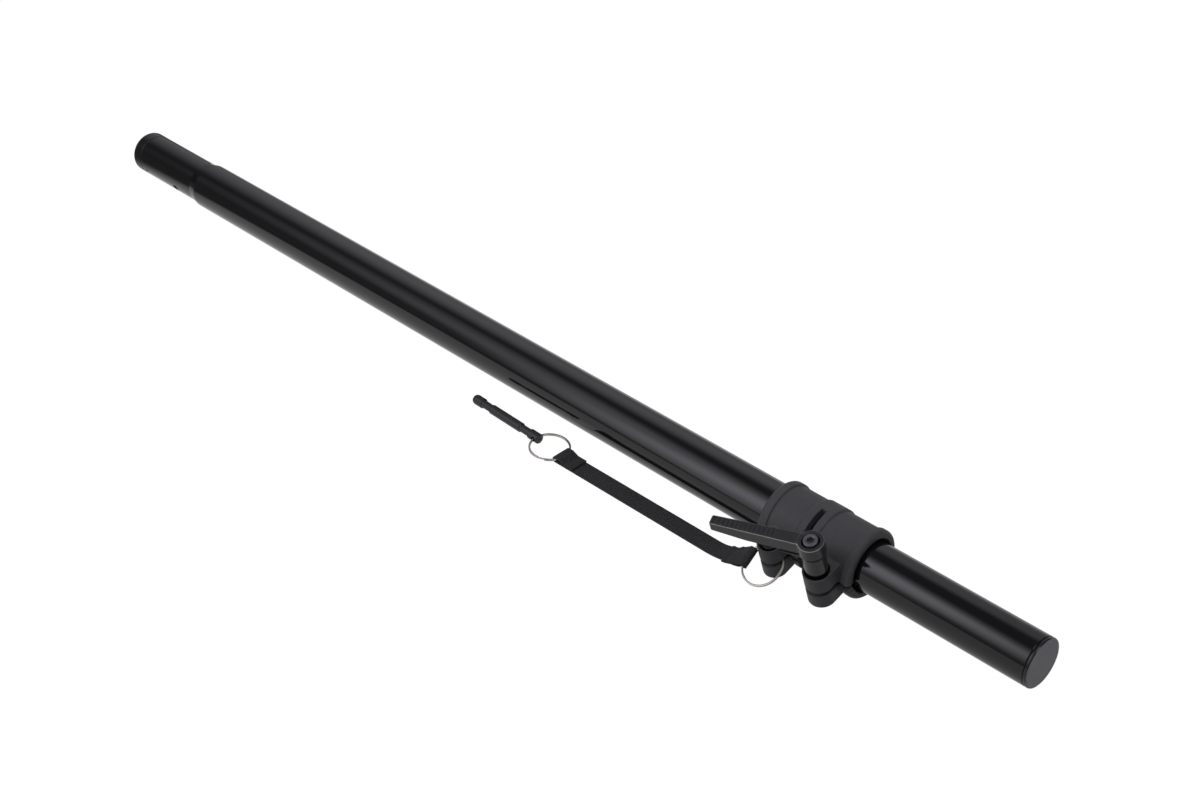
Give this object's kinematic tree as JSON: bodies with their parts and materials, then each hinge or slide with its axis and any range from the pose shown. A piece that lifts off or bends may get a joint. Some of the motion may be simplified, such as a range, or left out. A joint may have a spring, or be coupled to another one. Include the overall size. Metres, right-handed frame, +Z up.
{
  "type": "telescopic speaker pole",
  "caption": "Telescopic pole that joins a subwoofer to a speaker, with a split clamp collar, an indexing clamp lever and a locking pin on a webbing tether.",
  "frame": {"origin": "centre of the stub's end face, on the pole's axis", "axes": "+X along the pole from the stub end to the top end, +Z up with the pole lying on a table, -Y towards the clamp's ears and lever"},
  "size_m": [0.94, 0.0907, 0.0609],
  "materials": {
    "tube_paint": "gloss black powder coat",
    "cap_plastic": "matte moulded",
    "bush_plastic": "smooth natural acetal",
    "clamp_nylon": "fine-grained black nylon",
    "black_steel": "black oxide",
    "zinc_steel": "zinc plated",
    "ring_nickel": "bright nickel plate",
    "strap_webbing": "ribbed black webbing"
  },
  "bodies": {
    "outer": {"outer_tube": "tube_paint", "stub_end_cap": "cap_plastic", "clamp_collar": "clamp_nylon", "clamp_screw": "black_steel", "clamp_screw_washer": "black_steel", "clamp_screw_nut": "zinc_steel", "lever_nut": "zinc_steel"},
    "guide": {"inner_guide_bush": "bush_plastic"},
    "inner": {"inner_tube": "tube_paint", "top_end_cap": "cap_plastic"},
    "washer": {"lever_washer": "black_steel", "lever_thrust_disc": "clamp_nylon"},
    "spindle": {"lever_spindle": "black_steel", "lever_cap_screw": "black_steel"},
    "handle": {"lever_handle": "clamp_nylon", "lever_spring": "zinc_steel"},
    "ring": {"tether_ring": "ring_nickel"},
    "strap": {"tether_strap": "strap_webbing"},
    "pin_ring": {"pin_ring": "ring_nickel"},
    "pin": {"locking_pin": "black_steel"}
  },
  "joints": [
    {"name": "inner_tube_slide", "type": "slide", "parent": "outer", "child": "guide", "axis": [1, 0, 0], "range_m": [0, 0.46]},
    {"name": "inner_tube_turn", "type": "hinge", "parent": "guide", "child": "inner", "pos_m": [0.1, 0, 0], "axis": [1, 0, 0], "continuous": true},
    {"name": "washer_lift", "type": "slide", "parent": "outer", "child": "washer", "axis": [0, -0.3007, 0.9537], "range_m": [0, 0.00125]},
    {"name": "lever_turn", "type": "hinge", "parent": "washer", "child": "spindle", "pos_m": [0.78975, -0.02871, -0.00905], "axis": [0, -0.3007, 0.9537], "range_deg": [0, 360]},
    {"name": "lever_lift", "type": "slide", "parent": "spindle", "child": "handle", "axis": [0, -0.3007, 0.9537], "range_m": [0, 0.0042], "stiffness_N_per_m": 800, "springref_m": -0.004, "deforming": ["lever_spring"]},
    {"name": "tether_ring_swing", "type": "hinge", "parent": "outer", "child": "ring", "pos_m": [0.74985, -0.02527, -0.00797], "axis": [-0.9848, 0.1656, 0.0522], "range_deg": [0, 24]},
    {"name": "strap_round_ring", "type": "hinge", "parent": "ring", "child": "strap", "pos_m": [0.74686, -0.03507, -0.0153], "axis": [-0.0872, -0.5714, 0.816], "range_deg": [0, 90]},
    {"name": "pin_ring_turn", "type": "hinge", "parent": "strap", "child": "pin_ring", "pos_m": [0.54886, -0.0386, -0.01975], "axis": [0.056, 0.001, 0.9984], "range_deg": [0, 100]},
    {"name": "pin_swing", "type": "hinge", "parent": "pin_ring", "child": "pin", "pos_m": [0.53429, -0.03784, -0.01893], "axis": [0.0192, 0.9998, -0.0004], "range_deg": [0, 90]}
  ],
  "couplings": [
    {"joint": "washer_lift", "follows": "lever_turn", "m_per_rad": 0.00019894}
  ]
}
